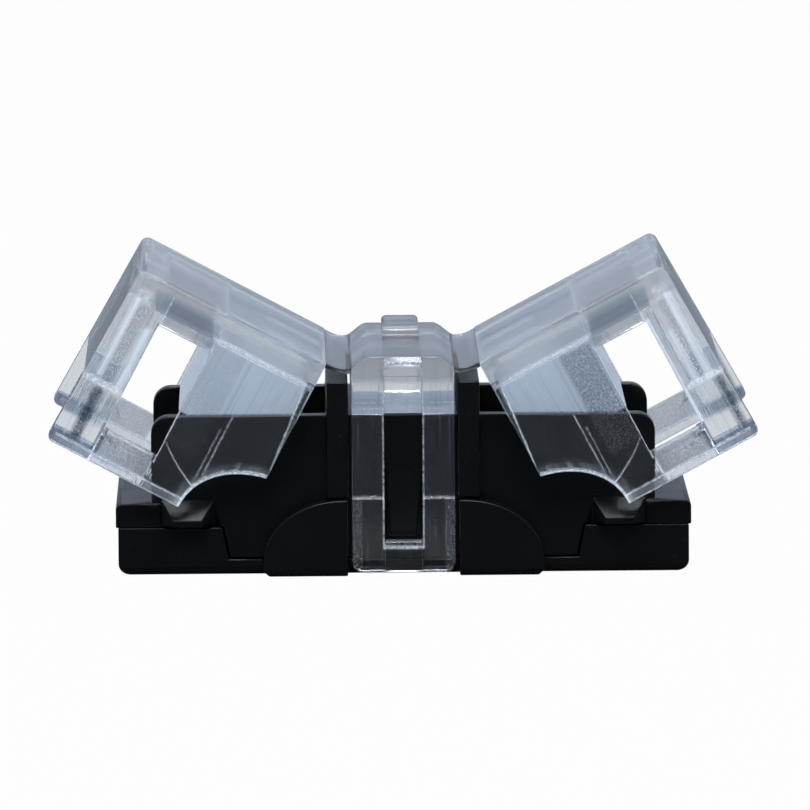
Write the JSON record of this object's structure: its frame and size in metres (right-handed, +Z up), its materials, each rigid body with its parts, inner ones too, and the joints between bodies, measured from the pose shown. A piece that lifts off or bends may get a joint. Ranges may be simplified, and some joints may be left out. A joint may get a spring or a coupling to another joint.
{
  "type": "led strip connector",
  "caption": "Solderless snap connector that joins two light strips end to end: black housing, clear centre clip and hinged clear wing covers over the strip channels.",
  "frame": {"origin": "centre of the underside, on the surface the connector stands on", "axes": "+Z up, X along the light strips, Y across them; the picture looks along +Y"},
  "size_m": [0.0296, 0.015, 0.0129],
  "materials": {
    "black_plastic": "satin moulded black",
    "clear_plastic": "clear moulding, polished outside, frosted inside the covers",
    "contact_metal": "stamped and plated"
  },
  "bodies": {
    "base": {"bottom_cover": "black_plastic", "upper_housing": "black_plastic", "contact_bar_front": "contact_metal", "contact_bar_back": "contact_metal", "centre_clip": "clear_plastic", "left_hinge_film": "clear_plastic", "right_hinge_film": "clear_plastic"},
    "left_cover": {"left_lid": "clear_plastic"},
    "right_cover": {"right_lid": "clear_plastic"}
  },
  "joints": [
    {"name": "left_cover_hinge", "type": "hinge", "parent": "base", "child": "left_cover", "pos_m": [-0.00272, 0, 0.00858], "axis": [0, 1, 0], "range_deg": [-28, 62], "stiffness_Nm_per_rad": 0.004, "deforming": ["left_hinge_film"]},
    {"name": "right_cover_hinge", "type": "hinge", "parent": "base", "child": "right_cover", "pos_m": [0.00272, 0, 0.00858], "axis": [0, -1, 0], "range_deg": [-28, 62], "stiffness_Nm_per_rad": 0.004, "deforming": ["right_hinge_film"]}
  ]
}
